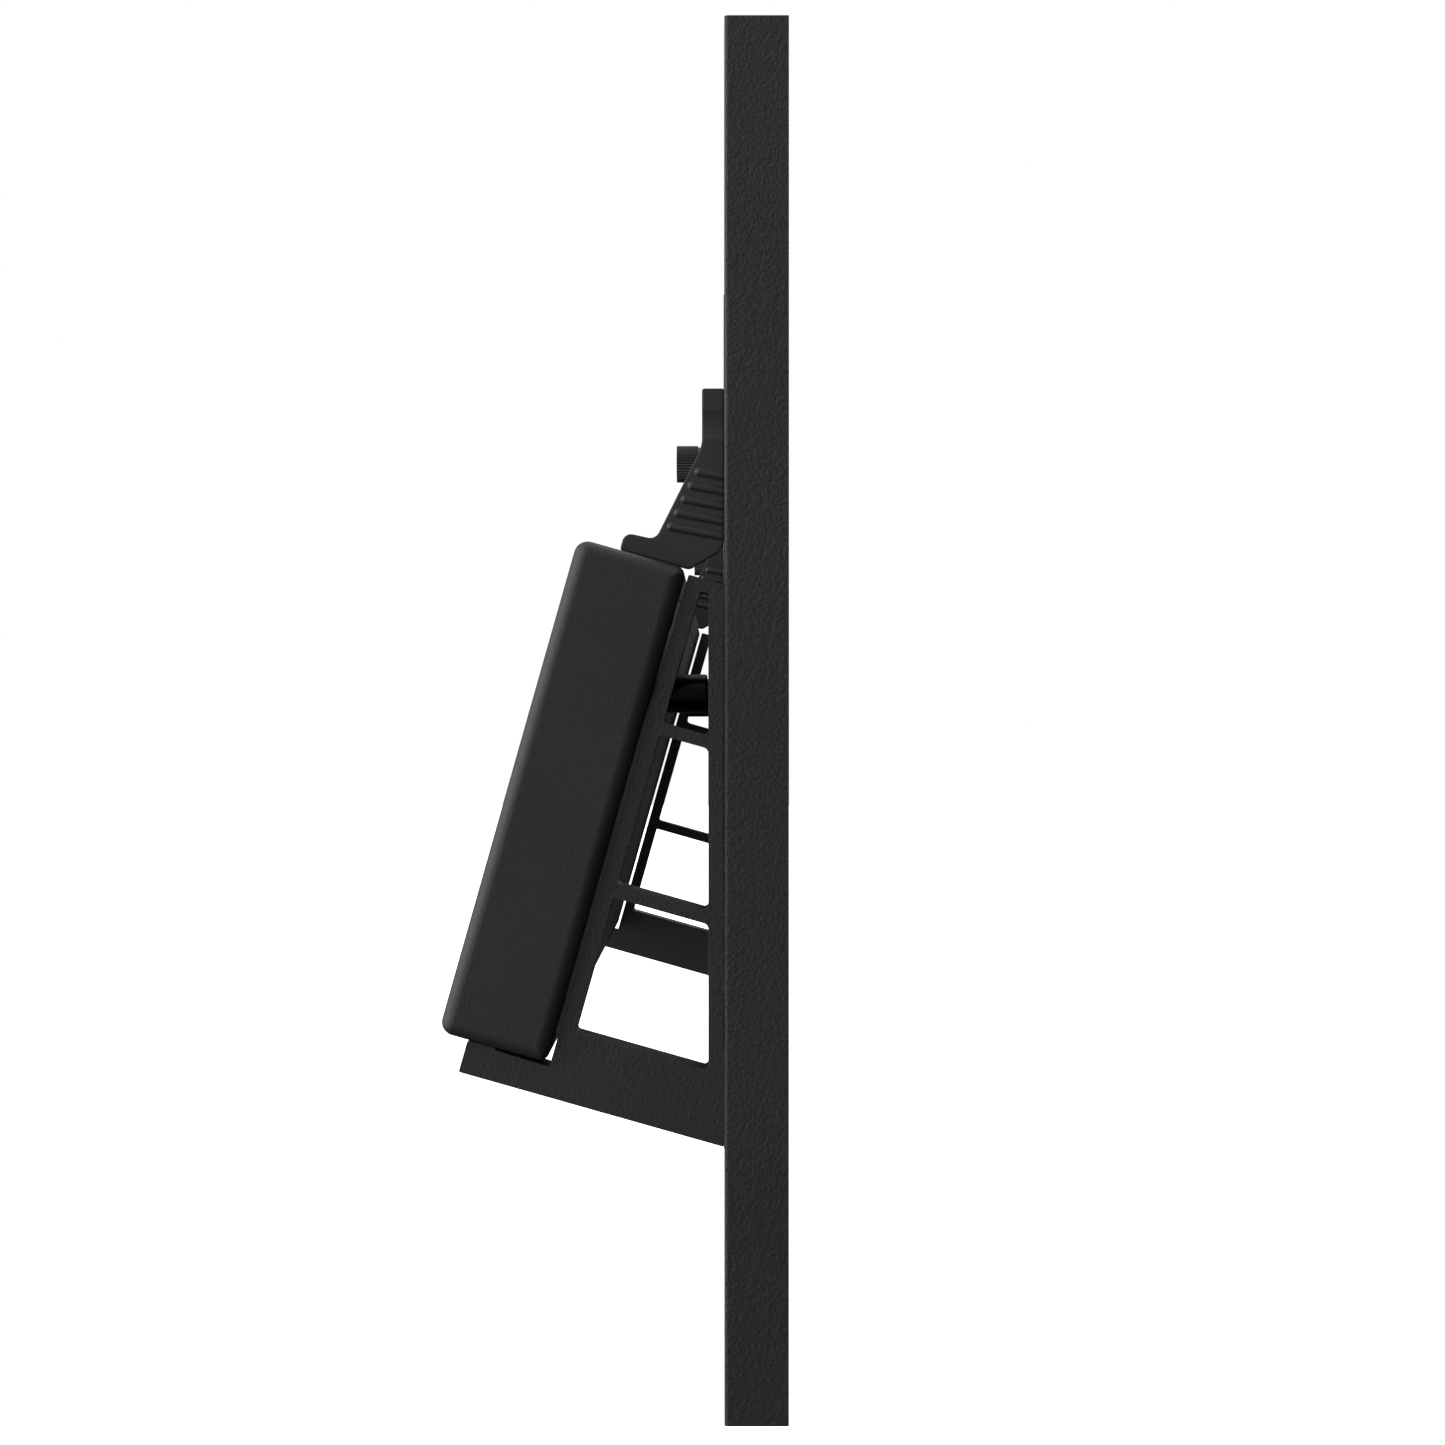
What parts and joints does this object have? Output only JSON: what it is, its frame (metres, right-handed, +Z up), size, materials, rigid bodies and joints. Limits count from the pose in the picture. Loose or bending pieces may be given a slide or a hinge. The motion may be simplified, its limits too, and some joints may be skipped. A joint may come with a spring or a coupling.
{
  "type": "full motion wall mount",
  "caption": "Folding wall mount: articulated arm, swivel and tilt head, slotted rails and a leaning cradle with clamps holding a slim device.",
  "frame": {"origin": "centre of the wall plate's back face, on the wall", "axes": "+Y into the wall, +Z up, +X to the right as seen from the room"},
  "size_m": [0.4327, 0.1114, 0.44],
  "materials": {
    "powder_coat": "fine orange-peel powder coat, near black",
    "bracket_coat": "fine powder coat, near black",
    "device_plastic": "fine-grained matt moulded plastic, near black",
    "device_cover_plastic": "grained matt moulded plastic, near black",
    "clamp_plastic": "smooth satin moulded plastic, near black",
    "gloss_knob": "high gloss black",
    "black_steel": "black oxide, satin",
    "thumb_black": "black, satin, knurled",
    "zinc_steel": "zinc plated",
    "pin_steel": "ground steel",
    "nylon": "natural nylon"
  },
  "bodies": {
    "wall": {"wall_plate": "powder_coat", "wall_pin": "pin_steel"},
    "lower_link": {"lower_arm": "powder_coat", "lower_arm_bushes": "nylon", "elbow_pin": "pin_steel", "elbow_nut": "black_steel"},
    "upper_link": {"upper_arm": "powder_coat", "upper_arm_bushes": "nylon", "elbow_spacer": "nylon", "head_post": "pin_steel", "head_post_nut": "black_steel"},
    "head": {"swivel_head": "powder_coat", "head_bush": "nylon", "head_washer": "nylon", "tilt_pivot_bolts": "black_steel", "tilt_pivot_nuts": "zinc_steel", "tilt_lock_bolts": "black_steel", "tilt_lock_nuts": "zinc_steel"},
    "panel": {"tilt_plate": "powder_coat", "upper_cross_bar": "powder_coat", "lower_cross_bar": "powder_coat", "tilt_plate_screws": "black_steel", "rail_right": "powder_coat", "rail_left": "powder_coat", "rail_bolts": "black_steel", "rail_nuts": "zinc_steel"},
    "cradle": {"bracket_right": "bracket_coat", "bracket_left": "bracket_coat", "bracket_slot_nuts": "zinc_steel", "device_shell": "device_plastic", "device_back_cover": "device_cover_plastic", "device_screws": "black_steel"},
    "knob_r": {"bracket_knob_right": "gloss_knob"},
    "knob_l": {"bracket_knob_left": "gloss_knob"},
    "clamp_r": {"clamp_right": "clamp_plastic", "clamp_slot_nut_right": "zinc_steel"},
    "clamp_l": {"clamp_left": "clamp_plastic", "clamp_slot_nut_left": "zinc_steel"},
    "thumb_r": {"thumb_screw_right": "thumb_black"},
    "thumb_l": {"thumb_screw_left": "thumb_black"}
  },
  "joints": [
    {"name": "wall_pivot", "type": "hinge", "parent": "wall", "child": "lower_link", "pos_m": [0, -0.011, 0], "axis": [0, 0, -1], "range_deg": [0, 90]},
    {"name": "elbow", "type": "hinge", "parent": "lower_link", "child": "upper_link", "pos_m": [0.1, -0.011, 0], "axis": [0, 0, 1], "range_deg": [0, 160]},
    {"name": "swivel", "type": "hinge", "parent": "upper_link", "child": "head", "pos_m": [0, -0.011, -0.08], "axis": [0, 0, 1], "range_deg": [-120, 120]},
    {"name": "tilt", "type": "hinge", "parent": "head", "child": "panel", "pos_m": [0, -0.011, -0.15], "axis": [1, 0, 0], "range_deg": [-5, 15]},
    {"name": "cradle_height", "type": "slide", "parent": "panel", "child": "cradle", "axis": [0, 0, 1], "range_m": [-0.04, 0]},
    {"name": "clamp_right_height", "type": "slide", "parent": "cradle", "child": "clamp_r", "axis": [0, 0, 1], "range_m": [0, 0.04]},
    {"name": "thumb_screw_right_turn", "type": "hinge", "parent": "clamp_r", "child": "thumb_r", "pos_m": [0.195, -0.03, -0.04242], "axis": [0, 1, 0], "continuous": true},
    {"name": "bracket_knob_right_turn", "type": "hinge", "parent": "cradle", "child": "knob_r", "pos_m": [0.195, -0.03, -0.11625], "axis": [0, 1, 0], "continuous": true},
    {"name": "clamp_left_height", "type": "slide", "parent": "cradle", "child": "clamp_l", "axis": [0, 0, 1], "range_m": [0, 0.04]},
    {"name": "thumb_screw_left_turn", "type": "hinge", "parent": "clamp_l", "child": "thumb_l", "pos_m": [-0.205, -0.03, -0.04242], "axis": [0, 1, 0], "continuous": true},
    {"name": "bracket_knob_left_turn", "type": "hinge", "parent": "cradle", "child": "knob_l", "pos_m": [-0.205, -0.03, -0.11625], "axis": [0, 1, 0], "continuous": true}
  ]
}
